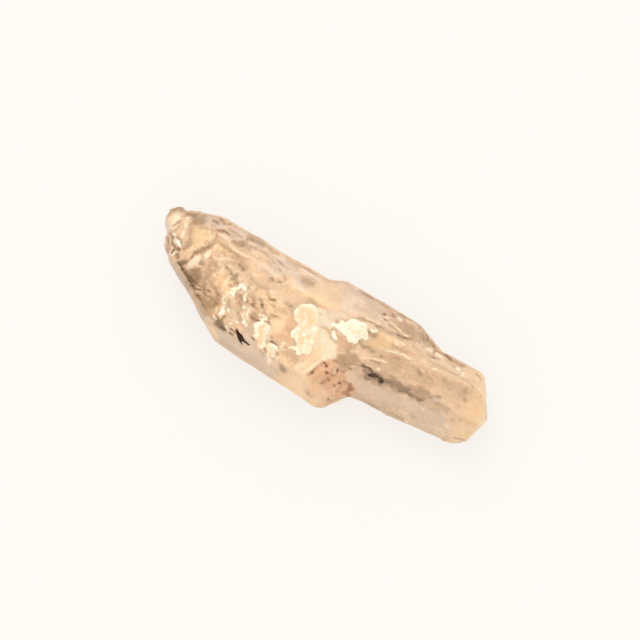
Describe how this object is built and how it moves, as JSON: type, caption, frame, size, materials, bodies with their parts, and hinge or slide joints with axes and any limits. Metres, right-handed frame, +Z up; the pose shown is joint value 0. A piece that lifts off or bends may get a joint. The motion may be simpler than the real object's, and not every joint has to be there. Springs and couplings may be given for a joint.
{
  "type": "rough morganite crystal",
  "caption": "Rough stubby morganite crystal lying on a flat prism face, a thick stone with a slimmer one and a low ridge grown along it.",
  "frame": {"origin": "on the flat resting face, under the centre of the stone's bounding box", "axes": "+X along the crystal axis from the blunt tip towards the slim end, +Y towards the low ridge along the back, +Z up"},
  "size_m": [0.044, 0.0146, 0.0097],
  "materials": {
    "beryl": "satin",
    "cream_crust": "matte",
    "dark_inclusion": "satin",
    "inner_veil": "satin"
  },
  "bodies": {
    "root": {"crystal": "beryl"}
  },
  "joints": []
}
